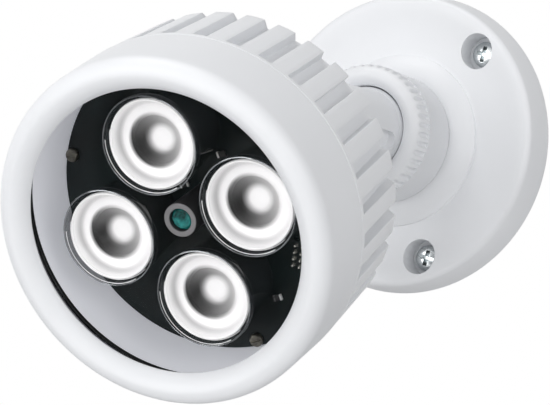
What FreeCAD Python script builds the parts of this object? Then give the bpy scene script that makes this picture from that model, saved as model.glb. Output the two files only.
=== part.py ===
import FreeCAD, Part
import math
import os

import Sketcher
from FreeCAD import Placement, Rotation, Vector

# Infrared illuminator on a wall bracket, in millimetres.
# The origin is the centre of the base's back face. The wall is the plane y = 0,
# the lamp stands out towards -Y, +Z is up and +X is to the right.

doc = FreeCAD.newDocument("InfraredIlluminator")
sheet = doc.addObject("Spreadsheet::Sheet", "Sheet")

# Sizes
sizes = {
    # Pose of the bracket
    "pivot_height": 49.0,
    "tilt_down": 25.8,
    "right_angle": 90.0,
    # Wall base, heights above the wall
    "base_back_radius": 38.0,
    "base_taper": 1.4,
    "base_rim_height": 9.0,
    "base_rim_round": 1.5,
    "base_foot_wall": 3.0,
    "base_foot_depth": 4.0,
    "hub_slope": 5.3,
    "base_dish_height": 6.8,
    "hub_step": 0.8,
    "hub_top_radius": 16.3,
    "hub_top_height": 9.9,
    "hub_curve": 7.0,
    "boss_radius": 13.2,
    "boss_height": 17.0,
    "boss_chamfer": 0.6,
    "boss_wall": 3.2,
    "boss_roof_wall": 3.0,
    "boss_mouth_radius": 5.0,
    "hub_inside_inset": 0.8,
    "hub_wall": 3.0,
    "hub_inside_slope": 2.1,
    "base_dish_wall": 2.6,
    "base_foot_step": 1.6,
    "base_rim_wall": 3.4,
    # Fixing screws of the base
    "screw_count": 3.0,
    "screw_inset": 7.7,
    "screw_first": 34.5,
    "screw_pillar_wall": 1.6,
    "screw_pillar_foot": 0.3,
    "screw_pillar_top": 6.0,
    "screw_head_clearance": 0.9,
    "screw_floor": 1.6,
    "screw_clearance": 0.3,
    "screw_head_radius": 3.5,
    "screw_head_height": 2.2,
    "screw_head_edge": 1.4,
    "screw_neck": 1.6,
    "screw_shank": 1.9,
    "screw_reach": 22.0,
    "screw_point": 3.0,
    "screw_cross_width": 1.0,
    "screw_cross_length": 4.6,
    "screw_cross_depth": 1.3,
    # Locking ring
    "ring_gap": 0.3,
    "ring_radius": 16.0,
    "ring_edge": 0.4,
    "ring_band_height": 21.5,
    "ring_band_step": 0.2,
    "ring_lip_height": 24.9,
    "ring_neck_clearance": 0.3,
    "ring_thread_clearance": 0.1,
    "ring_flange_clearance": 0.4,
    "ring_seat_clearance": 0.05,
    "notch_count": 45.0,
    "notch_radius": 0.6,
    "notch_stand": 0.15,
    "notch_drop": 0.1,
    "notch_length": 3.2,
    # Swivel neck
    "neck_flange_radius": 13.5,
    "neck_flange_thickness": 3.0,
    "washer_thickness": 1.0,
    "washer_inset": 0.7,
    "neck_radius": 10.7,
    "neck_bevel_start": 24.6,
    "neck_bevel": 0.4,
    "neck_end_radius": 9.3,
    "neck_barrel": 8.0,
    "neck_bore": 4.0,
    "neck_bore_top": 32.0,
    "neck_bore_cone": 2.0,
    "fork_clearance": 0.2,
    "fork_floor_clearance": 0.6,
    "fork_over": 3.7,
    "fork_depth": 30.0,
    "spot_face_clearance": 0.7,
    "spot_face_distance": 7.2,
    "spot_face_depth": 6.0,
    "relief_angle": -32.0,
    "relief_half_width": 2.5,
    "relief_depth": 0.7,
    "relief_length": 16.0,
    "relief_setback": 6.0,
    # Tilt joint
    "tilt_screw_radius": 2.5,
    "tilt_clearance": 0.1,
    "tilt_head_radius": 4.2,
    "tilt_head_height": 2.6,
    "tilt_head_edge": 0.5,
    "tilt_socket_flats": 2.0,
    "tilt_socket_depth": 1.6,
    "tilt_nut_flats": 8.0,
    "tilt_nut_height": 3.2,
    "tilt_washer_radius": 6.5,
    "tilt_washer_thickness": 0.75,
    # Arm, distances along the lamp's axis from the pivot
    "tongue_thickness": 5.2,
    "tongue_radius": 8.6,
    "web_half_width": 6.4,
    "arm_rear": 10.6,
    "arm_rear_radius": 5.2,
    "arm_cone": 2.0,
    "arm_radius": 7.25,
    "arm_shoulder": 28.6,
    "arm_stub": 5.0,
    "arm_proud": 1.4,
    "lock_nut_circle": 11.0,
    "lock_nut_height": 4.4,
    "arm_seal_radius": 8.5,
    "thread_clearance": 0.05,
    # Finned housing
    "arm_seal_thickness": 1.0,
    "boss_outside": 13.0,
    "boss_edge": 0.6,
    "boss_fillet": 1.5,
    "boss_length": 7.0,
    "rear_edge_bevel": 1.4,
    "rear_edge_drop": 3.25,
    "fin_taper": 0.75,
    "fin_setback": 4.0,
    "fin_front_radius": 37.15,
    "parting_ahead": 8.4,
    "spigot_step": 1.75,
    "spigot_length": 7.2,
    "spigot_chamfer": 0.4,
    "spigot_wall": 1.9,
    "rear_cavity_depth": 13.4,
    "board_ledge": 3.0,
    "rear_cavity_corner": 3.0,
    "rear_wall": 3.0,
    "fin_count": 32.0,
    "groove_width": 3.0,
    "groove_margin": 1.4,
    "groove_front_drop": 2.05,
    "groove_run_out": 1.0,
    "groove_rear_drop": 3.95,
    "groove_over": 1.85,
    "grommet_offset": 20.5,
    "grommet_radius": 3.2,
    "grommet_flange": 5.0,
    "grommet_rear": 1.4,
    "grommet_lip": 4.0,
    "grommet_lip_height": 0.9,
    "grommet_dimple": 2.2,
    "grommet_skin": 1.2,
    # Front bezel, glass and gasket
    "parting_gap": 0.1,
    "bezel_clearance": 0.15,
    "bezel_taper": 0.45,
    "bezel_outer_round": 3.5,
    "lip_drop": 3.0,
    "bezel_inner_round": 5.0,
    "lip_inset": 3.2,
    "lip_thickness": 2.0,
    "glass_thickness": 2.0,
    "gasket_flange": 1.0,
    "gasket_lip": 2.0,
    "gasket_setback": 0.1,
    "gasket_wall": 0.8,
    "glass_clearance": 0.1,
    # Lamp board
    "board_clearance": 0.2,
    "board_thickness": 1.6,
    "board_screw_inset": 1.6,
    "board_screw_radius": 0.9,
    "board_screw_depth": 5.0,
    "board_screw_head": 1.5,
    "board_screw_head_height": 1.2,
    "lens_spread": 0.275,
    "lens_flange": 2.23,
    "holder_cone": 2.6,
    "holder_flare": 0.6,
    "holder_wall": 0.6,
    "holder_gap": 0.8,
    "holder_rim": 1.6,
    "holder_ledge_height": 0.7,
    "lens_seat_clearance": 0.23,
    "lens_clearance": 0.1,
    "lens_rim_thickness": 1.0,
    "lens_disc": 9.37,
    "lens_bowl_radius": 5.3,
    "lens_bowl_depth": 3.2,
    "lens_pit_radius": 2.8,
    "lens_pit_depth": 2.4,
    "lens_length": 9.7,
    "lens_rear_radius": 3.9,
    "lens_well": 2.4,
    "lens_well_depth": 3.7,
    "emitter_side": 3.5,
    "emitter_height": 0.8,
    "emitter_dome": 1.4,
    "sleeve_radius": 3.6,
    "sleeve_wall": 1.15,
    "sleeve_length": 13.0,
    "photocell_clearance": 0.1,
    "photocell_recess": 0.7,
    "photocell_edge": 0.4,
    "terminal_x": 16.4,
    "terminal_y": -15.6,
    "terminal_turn": -28.0,
    "terminal_height": 0.6,
    "terminal_pitch": 1.5,
    "terminal_pin": 0.5,
    "terminal_pin_height": 1.8,
    "chip_length": 2.0,
    "chip_width": 1.25,
    "chip_height": 0.6,
    # Driver board
    "driver_radius": 26.0,
    "driver_gap": 5.4,
    "driver_thickness": 1.6,
    "spacer_circle": 22.5,
    "spacer_radius": 2.2,
    "inductor_radius": 6.0,
    "inductor_waist": 4.6,
    "inductor_flange": 0.9,
    "inductor_height": 4.6,
    "inductor_y": 12.0,
    "capacitor_radius": 3.15,
    "capacitor_height": 5.2,
    "capacitor_x": 12.5,
    "capacitor_y": -7.0,
    "transistor_width": 6.6,
    "transistor_length": 6.2,
    "transistor_height": 2.3,
    "transistor_y": -14.5,
    "link_width": 2.5,
    "link_length": 7.6,
    "link_x": -18.0,
}
for row, (alias, number) in enumerate(sizes.items(), start=1):
    cell = "B%d" % row
    sheet.set("A%d" % row, alias.replace("_", " "))
    sheet.set(cell, str(number))
    sheet.setAlias(cell, alias)
doc.recompute()

# Sizes that follow from others, so that what fits together stays together
derived = {
    # Wall base
    "base_rim_radius": "base_back_radius - base_taper",
    "base_foot_radius": "base_back_radius - base_foot_wall",
    "dish_outside_radius": "base_foot_radius - base_foot_step",
    "dish_outside_height": "base_rim_height - base_rim_wall",
    "base_dish_inner_radius": "hub_top_radius + hub_slope",
    "dish_inside_radius": "base_dish_inner_radius - hub_inside_slope",
    "dish_inside_height": "base_dish_height - base_dish_wall",
    "hub_step_height": "base_dish_height + hub_step",
    "hub_inside_radius": "hub_top_radius - hub_inside_inset",
    "hub_inside_height": "hub_top_height - hub_wall",
    "boss_bore": "boss_radius - boss_wall",
    "boss_roof": "boss_height - boss_roof_wall",
    # Fixing screws of the base
    "screw_circle": "base_back_radius - screw_inset",
    "screw_counterbore": "screw_head_radius + screw_head_clearance",
    "screw_pillar_radius": "screw_counterbore + screw_pillar_wall",
    "screw_hole": "screw_shank + screw_clearance",
    # Locking ring
    "ring_rear": "hub_top_height + ring_gap",
    "ring_thread_top": "boss_height + ring_gap",
    "ring_mouth": "neck_radius + ring_neck_clearance",
    "ring_lip_radius": "0.5*ring_radius + 0.5*ring_band_step - 0.5*ring_mouth",
    "ring_chamber": "neck_flange_radius + ring_flange_clearance",
    "ring_seat": "neck_flange_top + ring_seat_clearance",
    "notch_offset": "ring_radius + notch_stand",
    "notch_top": "ring_lip_height - notch_drop",
    # Swivel neck
    "neck_flange_top": "boss_height + washer_thickness + neck_flange_thickness",
    "washer_radius": "neck_flange_radius - washer_inset",
    "neck_taper_end": "pivot_height - neck_barrel",
    "neck_bore_point": "neck_bore_top + neck_bore_cone",
    "fork_slot": "tongue_thickness + 2*tilt_washer_thickness + fork_clearance",
    "fork_slot_floor": "pivot_height - tongue_radius - fork_floor_clearance",
    "fork_slot_top": "pivot_height + neck_end_radius + fork_over",
    "spot_face_radius": "tilt_head_radius + spot_face_clearance",
    "relief_floor": "neck_end_radius - relief_depth",
    "relief_rear": "relief_front - relief_length",
    "relief_front": "pivot_height - relief_setback",
    # Arm and finned housing
    "arm_end": "rear_cavity_floor + arm_proud",
    "boss_rear": "arm_shoulder + lock_nut_height + arm_seal_thickness",
    "rear_face": "boss_rear + boss_length",
    "rear_face_radius": "rear_edge_radius - rear_edge_bevel",
    "rear_edge_radius": "fin_front_radius - rear_edge_drop",
    "rear_edge": "rear_face + rear_edge_bevel",
    "fin_rear_radius": "fin_front_radius - fin_taper",
    "fin_rear": "rear_face + fin_setback",
    "parting": "board_seat + parting_ahead",
    "spigot_radius": "fin_front_radius - spigot_step",
    "spigot_front": "parting + spigot_length",
    "cavity_radius": "spigot_radius - spigot_wall",
    "board_seat": "rear_cavity_floor + rear_cavity_depth",
    "rear_cavity_radius": "cavity_radius - board_ledge",
    "rear_cavity_floor": "rear_face + rear_wall",
    "groove_front": "parting - groove_margin",
    "groove_front_radius": "fin_front_radius - groove_front_drop",
    "groove_rear": "rear_face - groove_run_out",
    "groove_rear_radius": "fin_front_radius - groove_rear_drop",
    "groove_outside": "fin_front_radius + groove_over",
    # Front bezel, glass and gasket
    "bezel_bore": "spigot_radius + bezel_clearance",
    "bezel_front_radius": "fin_front_radius - bezel_taper",
    "bezel_front": "bezel_crest - bezel_outer_round",
    "bezel_crest_radius": "bezel_front_radius - bezel_outer_round",
    "bezel_crest": "lip_front + lip_drop",
    "lip_radius": "bezel_crest_radius - lip_inset",
    "lip_front": "lip_rear + lip_thickness",
    "lip_rear": "spigot_front + gasket_flange + glass_thickness + gasket_lip",
    "gasket_front_radius": "lip_radius + gasket_setback",
    "gasket_bore": "spigot_radius - gasket_wall",
    # Lamp board
    "board_radius": "cavity_radius - board_clearance",
    "board_screw_circle": "cavity_radius - board_screw_inset",
    "lens_circle": "1.414214*holder_radius + lens_spread",
    "holder_radius": "lens_disc + lens_flange",
    "holder_foot": "holder_radius - holder_cone",
    "holder_neck": "holder_radius - holder_flare",
    "holder_front": "spigot_front + gasket_flange - holder_gap",
    "holder_ledge": "holder_front - holder_rim",
    "holder_ledge_bore": "lens_disc + lens_seat_clearance",
    "lens_rim": "holder_ledge + lens_rim_thickness",
    "lens_rear": "holder_ledge - lens_length",
    "lens_well_top": "lens_rear + lens_well_depth",
    "sleeve_bore": "sleeve_radius - sleeve_wall",
    "sleeve_front": "board_seat + board_thickness + sleeve_length",
    "photocell_radius": "sleeve_bore - photocell_clearance",
    "photocell_front": "sleeve_front - photocell_recess",
}


# Words and numbers
def amount(text):
    """Value of a sum such as 'boss_height - 0.5*groove_width'."""
    total = 0.0
    sign = 1.0
    for word in text.split():
        if word in "+-":
            sign = 1.0 if word == "+" else -1.0
            continue
        factor, _, name = word.rpartition("*")
        if name in derived:
            value = amount(derived[name])
        else:
            value = sizes[name] if name in sizes else float(name)
        total += sign * value * (float(factor) if factor else 1.0)
        sign = 1.0
    return total


def formula(text):
    """The same sum, bound to the sheet."""
    words = []
    for word in text.split():
        factor, star, name = word.rpartition("*")
        if name in derived:
            name = "(%s)" % formula(derived[name])
        elif name in sizes:
            name = "Sheet." + name
        words.append(factor + star + name)
    return " ".join(words)


def bind(thing, prop, text):
    thing.setExpression(prop, formula(text))


# Sketches
def origin_plane(body, role):
    return next(o for o in body.Origin.OriginFeatures if o.Role == role)


def new_sketch(body, role, level=None, turn=None):
    sketch = body.newObject("Sketcher::SketchObject", body.Name + "Sketch")
    sketch.AttachmentSupport = [(origin_plane(body, role), "")]
    sketch.MapMode = "FlatFace"
    if turn:
        angle = math.radians(amount(turn))
        distance = amount(level)
        offset = Vector(distance * math.sin(angle), 0, distance * math.cos(angle))
        sketch.AttachmentOffset = Placement(offset, Rotation(Vector(0, 1, 0), amount(turn)))
    elif level:
        sketch.AttachmentOffset = Placement(Vector(0, 0, amount(level)), Rotation())
        sketch.setExpression("AttachmentOffset.Base.z", "(%s) * 1 mm" % formula(level))
    return sketch


def hold(sketch, kind, geo, point, text):
    """Fix one coordinate of a point to the sheet."""
    value = amount(text)
    if text == "0":
        sketch.addConstraint(Sketcher.Constraint("PointOnObject", geo, point, -2 if kind == "X" else -1))
        return
    index = sketch.addConstraint(Sketcher.Constraint("Distance" + kind, -1, 1, geo, point, value))
    sketch.setExpression("Constraints[%d]" % index, formula(text))


def outline(body, role, corners, level=None, turn=None):
    """Closed profile, anticlockwise. Each corner is (x, y) or (x, y, radius, side):
    with a radius, the edge that leaves the corner is an arc that bulges out or in.
    The radius "dome" puts the arc's centre on the sketch's vertical axis."""
    sketch = new_sketch(body, role, level, turn)
    points = [Vector(amount(c[0]), amount(c[1]), 0) for c in corners]
    edges = []
    for i, corner in enumerate(corners):
        start, end = points[i], points[(i + 1) % len(points)]
        if len(corner) == 2:
            geo = sketch.addGeometry(Part.LineSegment(start, end))
            edges.append((geo, 1, 2))
            continue
        chord = end - start
        dome = corner[2] == "dome"
        radius = chord.Length ** 2 / (2 * abs(chord.y)) if dome else amount(corner[2])
        right = Vector(chord.y, -chord.x, 0).normalize()
        reach = math.sqrt(max(radius ** 2 - (chord.Length / 2) ** 2, 0.0))
        outward = corner[3] == "out"
        centre = (start + end) * 0.5 + right * (-reach if outward else reach)
        first, last = (start, end) if outward else (end, start)
        angles = [math.atan2(p.y - centre.y, p.x - centre.x) for p in (first, last)]
        circle = Part.Circle(centre, Vector(0, 0, 1), radius)
        geo = sketch.addGeometry(Part.ArcOfCircle(circle, angles[0], angles[1]))
        edges.append((geo, 1, 2) if outward else (geo, 2, 1))
    for i, (geo, _, tail) in enumerate(edges):
        following, head, _ = edges[(i + 1) % len(edges)]
        sketch.addConstraint(Sketcher.Constraint("Coincident", geo, tail, following, head))
    for i, corner in enumerate(corners):
        geo, head, _ = edges[i]
        hold(sketch, "X", geo, head, corner[0])
        hold(sketch, "Y", geo, head, corner[1])
        if len(corner) > 2 and corner[2] == "dome":
            sketch.addConstraint(Sketcher.Constraint("PointOnObject", geo, 3, -2))
        elif len(corner) > 2:
            index = sketch.addConstraint(Sketcher.Constraint("Radius", geo, amount(corner[2])))
            sketch.setExpression("Constraints[%d]" % index, formula(corner[2]))
    return sketch


def circle(body, role, x, y, radius, level=None):
    sketch = new_sketch(body, role, level)
    ring = Part.Circle(Vector(amount(x), amount(y), 0), Vector(0, 0, 1), amount(radius))
    geo = sketch.addGeometry(ring)
    hold(sketch, "X", geo, 3, x)
    hold(sketch, "Y", geo, 3, y)
    index = sketch.addConstraint(Sketcher.Constraint("Radius", geo, amount(radius)))
    sketch.setExpression("Constraints[%d]" % index, formula(radius))
    return sketch


def rectangle(x0, y0, x1, y1):
    return [(x0, y0), (x1, y0), (x1, y1), (x0, y1)]


# Features
def new_body(label):
    body = doc.addObject("PartDesign::Body", label)
    body.Label = label
    return body


def turned(body, corners, kind="Revolution"):
    sketch = outline(body, "XZ_Plane", corners)
    feature = body.newObject("PartDesign::" + kind, body.Name + kind)
    feature.Profile = sketch
    feature.ReferenceAxis = (sketch, ["V_Axis"])
    feature.Angle = 360
    doc.recompute()
    return feature


def pushed(body, sketch, kind, length=None, both=False, backwards=False):
    """A pad or a pocket of a sketch; without a length it goes through all."""
    before = body.Shape.Volume if body.Tip else 0.0
    feature = body.newObject("PartDesign::" + kind, body.Name + kind)
    feature.Profile = sketch
    if length:
        bind(feature, "Length", length)
    else:
        feature.Type = "ThroughAll"
    if both:
        feature.Midplane = True
    feature.Reversed = backwards
    doc.recompute()
    change = body.Shape.Volume - before
    if change * (1 if kind == "Pad" else -1) < 1e-4:
        raise RuntimeError("%s of %s changes nothing" % (kind, body.Label))
    return feature


def around(body, features, count):
    """Repeat features evenly about the body's own Z axis."""
    pattern = body.newObject("PartDesign::PolarPattern", body.Name + "Pattern")
    pattern.Originals = features
    pattern.Axis = (next(o for o in body.Origin.OriginFeatures if o.Role == "Z_Axis"), [""])
    pattern.Angle = 360
    bind(pattern, "Occurrences", count)
    body.Tip = pattern
    doc.recompute()
    return pattern


def rim_edges(body, radius, height):
    """Names of the circular edges of one radius at one height."""
    names = []
    for number, edge in enumerate(body.Shape.Edges, start=1):
        if not isinstance(edge.Curve, Part.Circle):
            continue
        if abs(edge.Curve.Radius - amount(radius)) < 0.01 and abs(edge.Curve.Center.z - amount(height)) < 0.01:
            names.append("Edge%d" % number)
    return names


def dressed(body, kind, names, size):
    last = body.Tip
    feature = body.newObject("PartDesign::" + kind, body.Name + kind)
    feature.Base = (last, names)
    bind(feature, "Radius" if kind == "Fillet" else "Size", size)
    doc.recompute()
    return feature


# Places
def on_base(thing, spin=None):
    """Stand a piece on the wall: its own Z points away from the wall."""
    turn = Rotation(Vector(0, 0, 1), amount(spin)) if spin else Rotation()
    thing.Placement = Placement(Vector(), Rotation(Vector(1, 0, 0), 90) * turn)
    return thing


def on_head(thing, x="0", y="0"):
    """Put a piece in the tilted lamp: its own Z points out of the front."""
    tilt = "(Sheet.right_angle + Sheet.tilt_down) * 1 deg"
    start = Rotation(Vector(1, 0, 0), 90 + sizes["tilt_down"])
    thing.Placement = Placement(Vector(), start)
    thing.setExpression("Placement.Rotation.Angle", tilt)
    thing.setExpression("Placement.Base.x", "(%s) * 1 mm" % formula(x))
    thing.setExpression(
        "Placement.Base.y",
        "(-Sheet.pivot_height - (%s) * sin(Sheet.tilt_down * 1 deg)) * 1 mm" % formula(y))
    thing.setExpression("Placement.Base.z", "(%s) * cos(Sheet.tilt_down * 1 deg) * 1 mm" % formula(y))
    return thing


def primitive(kind, name, at=("0", "0", "0"), axis_x=False, **named):
    """A Part primitive whose sizes and place are bound to the sheet."""
    solid = doc.addObject("Part::" + kind, name)
    for prop, text in named.items():
        if prop == "Polygon":
            solid.Polygon = text
        else:
            bind(solid, prop, text)
    turn = Rotation(Vector(0, 1, 0), 90) if axis_x else Rotation()
    solid.Placement = Placement(Vector(*[amount(t) for t in at]), turn)
    for letter, text in zip("xyz", at):
        if text != "0":
            solid.setExpression("Placement.Base." + letter, "(%s) * 1 mm" % formula(text))
    return solid


def boolean(kind, label, first, second):
    result = doc.addObject("Part::" + kind, label)
    result.Base = first
    result.Tool = second
    result.Label = label
    return result


def grouped(label, members):
    group = doc.addObject("Part::Compound", label)
    group.Links = members
    group.Label = label
    return group


pieces = []


# Wall base
base = new_body("wall_base")
turned(base, [
    ("base_foot_radius", "0"),
    ("base_back_radius", "0"),
    ("base_rim_radius", "base_rim_height"),
    ("base_rim_radius - base_rim_round", "base_rim_height"),
    ("base_dish_inner_radius", "base_dish_height"),
    ("base_dish_inner_radius", "hub_step_height", "hub_curve", "out"),
    ("hub_top_radius", "hub_top_height"),
    ("boss_radius", "hub_top_height"),
    ("boss_radius", "boss_height - boss_chamfer"),
    ("boss_radius - boss_chamfer", "boss_height"),
    ("boss_mouth_radius", "boss_height"),
    ("boss_mouth_radius", "boss_roof"),
    ("boss_bore", "boss_roof"),
    ("boss_bore", "hub_inside_height"),
    ("hub_inside_radius", "hub_inside_height"),
    ("dish_inside_radius", "dish_inside_height"),
    ("dish_outside_radius", "dish_outside_height"),
    ("base_foot_radius", "base_foot_depth"),
])
dressed(base, "Fillet", rim_edges(base, "base_rim_radius", "base_rim_height"), "base_rim_round")
pillar = pushed(
    base, circle(base, "XY_Plane", "screw_circle", "0", "screw_pillar_radius", "screw_pillar_foot"),
    "Pad", "screw_pillar_top - screw_pillar_foot")
around(base, [pillar], "screw_count")
sink = pushed(
    base, circle(base, "XY_Plane", "screw_circle", "0", "screw_counterbore", "screw_floor"),
    "Pocket", backwards=True)
around(base, [sink], "screw_count")
hole = pushed(base, circle(base, "XY_Plane", "screw_circle", "0", "screw_hole"), "Pocket", backwards=True)
around(base, [hole], "screw_count")
on_base(base, spin="screw_first")
pieces.append(base)


# Base screws: pan heads with a cross recess, plain under the head and threaded behind the wall plane
def base_screw(number):
    screw = new_body("base_screw_%d" % number)
    turned(screw, [
        ("0", "0 - screw_reach"),
        ("screw_shank", "0 - screw_reach + screw_point"),
        ("screw_shank", "0"),
        ("screw_neck", "0"),
        ("screw_neck", "screw_floor"),
        ("screw_head_radius", "screw_floor"),
        ("screw_head_radius", "screw_floor + screw_head_edge", "dome", "out"),
        ("0", "screw_floor + screw_head_height"),
    ])
    top = "screw_floor + screw_head_height"
    long, wide = "0.5*screw_cross_length", "0.5*screw_cross_width"
    for x, y in ((long, wide), (wide, long)):
        slot = rectangle("0 - " + x, "0 - " + y, x, y)
        pushed(screw, outline(screw, "XY_Plane", slot, top), "Pocket", "screw_cross_depth")
    angle = "(Sheet.screw_first + %d * 360 / Sheet.screw_count) * 1 deg" % number
    turn = math.radians(sizes["screw_first"] + number * 360 / sizes["screw_count"])
    screw.Placement = Placement(
        Vector(amount("screw_circle") * math.cos(turn), 0, amount("screw_circle") * math.sin(turn)),
        Rotation(Vector(1, 0, 0), 90))
    circle_radius = "(%s)" % formula("screw_circle")
    screw.setExpression("Placement.Base.x", "%s * cos(%s) * 1 mm" % (circle_radius, angle))
    screw.setExpression("Placement.Base.z", "%s * sin(%s) * 1 mm" % (circle_radius, angle))
    return screw


pieces.append(grouped("base_screws", [base_screw(i) for i in range(int(sizes["screw_count"]))]))


# Locking ring
ring = new_body("locking_ring")
turned(ring, [
    ("boss_radius + ring_thread_clearance", "ring_rear"),
    ("ring_radius - ring_edge", "ring_rear"),
    ("ring_radius", "ring_rear + ring_edge"),
    ("ring_radius", "ring_band_height"),
    ("ring_radius + ring_band_step", "ring_band_height + ring_band_step"),
    ("ring_mouth + 2*ring_lip_radius", "ring_lip_height", "ring_lip_radius", "out"),
    ("ring_mouth + ring_lip_radius", "ring_lip_height + ring_lip_radius", "ring_lip_radius", "out"),
    ("ring_mouth", "ring_lip_height"),
    ("ring_mouth", "ring_seat"),
    ("ring_chamber", "ring_seat"),
    ("ring_chamber", "ring_thread_top"),
    ("boss_radius + ring_thread_clearance", "ring_thread_top"),
])
notch = pushed(
    ring, circle(ring, "XY_Plane", "notch_offset", "0", "notch_radius", "notch_top"),
    "Pocket", "notch_length")
around(ring, [notch], "notch_count")
pieces.append(on_base(ring))


# Swivel neck with its foot flange, fork and side relief
neck = new_body("swivel_neck")
turned(neck, [
    ("neck_bore", "boss_height + washer_thickness"),
    ("neck_flange_radius", "boss_height + washer_thickness"),
    ("neck_flange_radius", "neck_flange_top"),
    ("neck_radius", "neck_flange_top"),
    ("neck_radius", "neck_bevel_start"),
    ("neck_radius - neck_bevel", "neck_bevel_start + neck_bevel"),
    ("neck_end_radius", "neck_taper_end"),
    ("neck_end_radius", "pivot_height", "dome", "out"),
    ("0", "pivot_height + neck_end_radius"),
    ("0", "neck_bore_point"),
    ("neck_bore", "neck_bore_top"),
])
half_slot = "0.5*fork_slot"
pushed(
    neck, outline(neck, "XZ_Plane", rectangle("0 - " + half_slot, "fork_slot_floor", half_slot, "fork_slot_top")),
    "Pocket", "fork_depth", both=True)
for side in ("", "0 - "):
    face = circle(neck, "YZ_Plane", "0", "pivot_height", "spot_face_radius", side + "spot_face_distance")
    pushed(neck, face, "Pocket", "spot_face_depth", backwards=not side)
pushed(
    neck, circle(neck, "YZ_Plane", "0", "pivot_height", "tilt_screw_radius + tilt_clearance"),
    "Pocket", "fork_depth", both=True)
relief = outline(neck, "YZ_Plane", [
    ("relief_half_width", "relief_front"),
    ("0 - relief_half_width", "relief_front"),
    ("0 - relief_half_width", "relief_rear + relief_half_width", "relief_half_width", "out"),
    ("0", "relief_rear", "relief_half_width", "out"),
    ("relief_half_width", "relief_rear + relief_half_width"),
], "relief_floor", "relief_angle")
pushed(neck, relief, "Pocket", "spot_face_depth", backwards=True)
pieces.append(on_base(neck))


# Thrust washer under the foot flange
washer = boolean(
    "Cut", "swivel_washer",
    primitive("Cylinder", "WasherOutside", ("0", "0", "boss_height"), Radius="washer_radius",
              Height="washer_thickness"),
    primitive("Cylinder", "WasherInside", ("0", "0", "boss_height"), Radius="boss_mouth_radius",
              Height="washer_thickness"))
pieces.append(on_base(washer))


# Tilt screw, nut and washers, whose axis is the pivot's X axis
def on_pivot(thing):
    thing.Placement = Placement(Vector(0, -amount("pivot_height"), 0), Rotation(Vector(0, 1, 0), 90))
    thing.setExpression("Placement.Base.y", "-Sheet.pivot_height * 1 mm")
    return thing


tilt_screw = new_body("tilt_screw")
turned(tilt_screw, [
    ("0", "0 - spot_face_distance - tilt_nut_height"),
    ("tilt_screw_radius - tilt_head_edge", "0 - spot_face_distance - tilt_nut_height"),
    ("tilt_screw_radius", "0 - spot_face_distance - tilt_nut_height + tilt_head_edge"),
    ("tilt_screw_radius", "spot_face_distance"),
    ("tilt_head_radius", "spot_face_distance"),
    ("tilt_head_radius", "spot_face_distance + tilt_head_height - tilt_head_edge"),
    ("tilt_head_radius - tilt_head_edge", "spot_face_distance + tilt_head_height"),
    ("0", "spot_face_distance + tilt_head_height"),
])
socket = [(math.cos(math.radians(60 * i)), math.sin(math.radians(60 * i))) for i in range(6)]
socket = [("%.6f*tilt_socket_flats" % x, "%.6f*tilt_socket_flats" % y) for x, y in socket]
pushed(
    tilt_screw, outline(tilt_screw, "XY_Plane", socket, "spot_face_distance + tilt_head_height"),
    "Pocket", "tilt_socket_depth")
pieces.append(on_pivot(tilt_screw))


def hexagon_nut(label, circumradius, height, bore, level):
    hexagon = primitive("Prism", label + "Hexagon", ("0", "0", level), Polygon=6,
                        Circumradius=circumradius, Height=height)
    opening = primitive("Cylinder", label + "Bore", ("0", "0", level), Radius=bore, Height=height)
    return boolean("Cut", label, hexagon, opening)


tilt_nut = hexagon_nut(
    "tilt_nut", "0.57735*tilt_nut_flats", "tilt_nut_height", "tilt_screw_radius + thread_clearance",
    "0 - spot_face_distance - tilt_nut_height")
pieces.append(on_pivot(tilt_nut))


def tilt_washer(name, level):
    size = "tilt_washer_thickness"
    return boolean(
        "Cut", name,
        primitive("Cylinder", name + "Outside", ("0", "0", level), Radius="tilt_washer_radius", Height=size),
        primitive("Cylinder", name + "Inside", ("0", "0", level),
                  Radius="tilt_screw_radius + tilt_clearance", Height=size))


tilt_washers = grouped("tilt_washers", [
    tilt_washer("right_tilt_washer", "0.5*tongue_thickness"),
    tilt_washer("left_tilt_washer", "0 - 0.5*tongue_thickness - tilt_washer_thickness"),
])
pieces.append(on_pivot(tilt_washers))


# Arm: tongue, web and threaded stub
arm = new_body("arm")
turned(arm, [
    ("0", "arm_rear"),
    ("arm_rear_radius", "arm_rear"),
    ("arm_radius", "arm_rear + arm_cone"),
    ("arm_radius", "arm_shoulder"),
    ("arm_stub", "arm_shoulder"),
    ("arm_stub", "arm_end - spigot_chamfer"),
    ("arm_stub - spigot_chamfer", "arm_end"),
    ("0", "arm_end"),
])
web = rectangle("0 - web_half_width", "0", "web_half_width", "arm_rear + arm_cone")
pushed(arm, outline(arm, "YZ_Plane", web), "Pad", "tongue_thickness", both=True)
pushed(arm, circle(arm, "YZ_Plane", "0", "0", "tongue_radius"), "Pad", "tongue_thickness", both=True)
pushed(
    arm, circle(arm, "YZ_Plane", "0", "0", "tilt_screw_radius + tilt_clearance"),
    "Pocket", "fork_depth", both=True)
pieces.append(on_head(arm))

lock_nut = hexagon_nut(
    "arm_lock_nut", "lock_nut_circle", "lock_nut_height", "arm_stub + thread_clearance", "arm_shoulder")
pieces.append(on_head(lock_nut))

arm_seal = boolean(
    "Cut", "arm_seal",
    primitive("Cylinder", "SealOutside", ("0", "0", "arm_shoulder + lock_nut_height"),
              Radius="arm_seal_radius", Height="boss_rear - arm_shoulder - lock_nut_height"),
    primitive("Cylinder", "SealInside", ("0", "0", "arm_shoulder + lock_nut_height"),
              Radius="arm_stub + thread_clearance", Height="boss_rear - arm_shoulder - lock_nut_height"))
pieces.append(on_head(arm_seal))


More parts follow.
